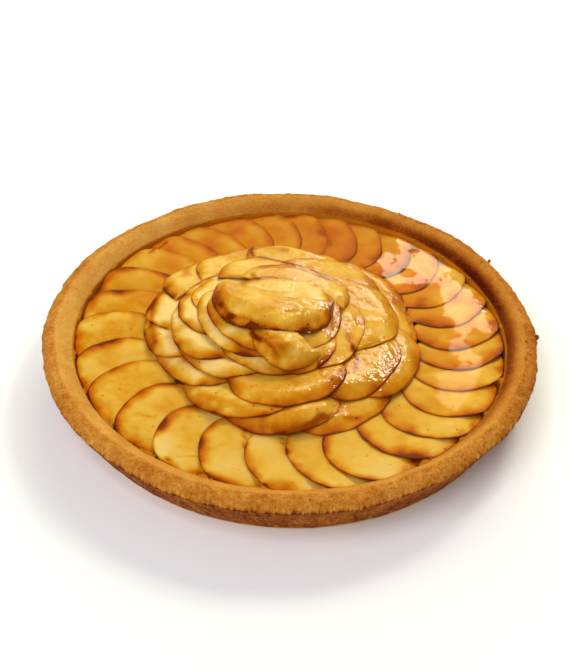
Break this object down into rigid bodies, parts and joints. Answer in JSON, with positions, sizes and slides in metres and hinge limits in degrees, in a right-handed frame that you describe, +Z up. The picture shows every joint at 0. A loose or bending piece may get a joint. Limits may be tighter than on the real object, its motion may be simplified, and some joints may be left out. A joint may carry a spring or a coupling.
{
  "type": "apple crostata",
  "caption": "Round shallow shortcrust tart filled with overlapping baked apple slices, with a raised apple rose at its centre.",
  "frame": {"origin": "centre of the flat underside of the pastry case", "axes": "+Z up through the rose, -Y towards the front of the tart, +X to its right"},
  "size_m": [0.2612, 0.2598, 0.0507],
  "materials": {
    "shortcrust": "matte golden-brown baked shortcrust, darker along the break of the wall",
    "baked_apple": "golden-yellow baked apple under a clear amber glaze, browned at the rounded edge",
    "glazed_apple": "pale yellow baked apple under a thick clear glaze, browned at the rounded edge"
  },
  "bodies": {
    "root": {"bud_cap": "glazed_apple", "bud_tongue": "glazed_apple", "crust": "shortcrust", "inner_petal_01": "glazed_apple", "inner_petal_02": "glazed_apple", "inner_petal_03": "glazed_apple", "outer_petal_01": "glazed_apple", "outer_petal_02": "glazed_apple", "outer_petal_03": "glazed_apple", "outer_petal_04": "glazed_apple", "outer_petal_05": "glazed_apple", "outer_petal_06": "glazed_apple", "outer_petal_07": "glazed_apple", "outer_petal_08": "glazed_apple", "outer_petal_09": "glazed_apple", "outer_petal_10": "glazed_apple", "outer_petal_11": "glazed_apple", "outer_petal_12": "glazed_apple", "ring_slice_01": "baked_apple", "ring_slice_02": "baked_apple", "ring_slice_03": "baked_apple", "ring_slice_04": "baked_apple", "ring_slice_05": "baked_apple", "ring_slice_06": "baked_apple", "ring_slice_07": "baked_apple", "ring_slice_08": "baked_apple", "ring_slice_09": "baked_apple", "ring_slice_10": "baked_apple", "ring_slice_11": "baked_apple", "ring_slice_12": "baked_apple", "ring_slice_13": "baked_apple", "ring_slice_14": "baked_apple", "ring_slice_15": "baked_apple", "ring_slice_16": "baked_apple", "ring_slice_17": "baked_apple", "ring_slice_18": "baked_apple", "ring_slice_19": "baked_apple", "ring_slice_20": "baked_apple", "ring_slice_21": "baked_apple", "ring_slice_22": "baked_apple", "ring_slice_23": "baked_apple", "ring_slice_24": "baked_apple", "ring_slice_25": "baked_apple", "ring_slice_26": "baked_apple", "ring_slice_27": "baked_apple", "ring_slice_28": "baked_apple", "ring_slice_29": "baked_apple", "second_petal_01": "glazed_apple", "second_petal_02": "glazed_apple", "second_petal_03": "glazed_apple", "second_petal_04": "glazed_apple", "second_petal_05": "glazed_apple", "second_petal_06": "glazed_apple", "second_petal_07": "glazed_apple", "second_petal_08": "glazed_apple", "second_petal_09": "glazed_apple", "third_petal_01": "glazed_apple", "third_petal_02": "glazed_apple", "third_petal_03": "glazed_apple", "third_petal_04": "glazed_apple"}
  },
  "joints": []
}
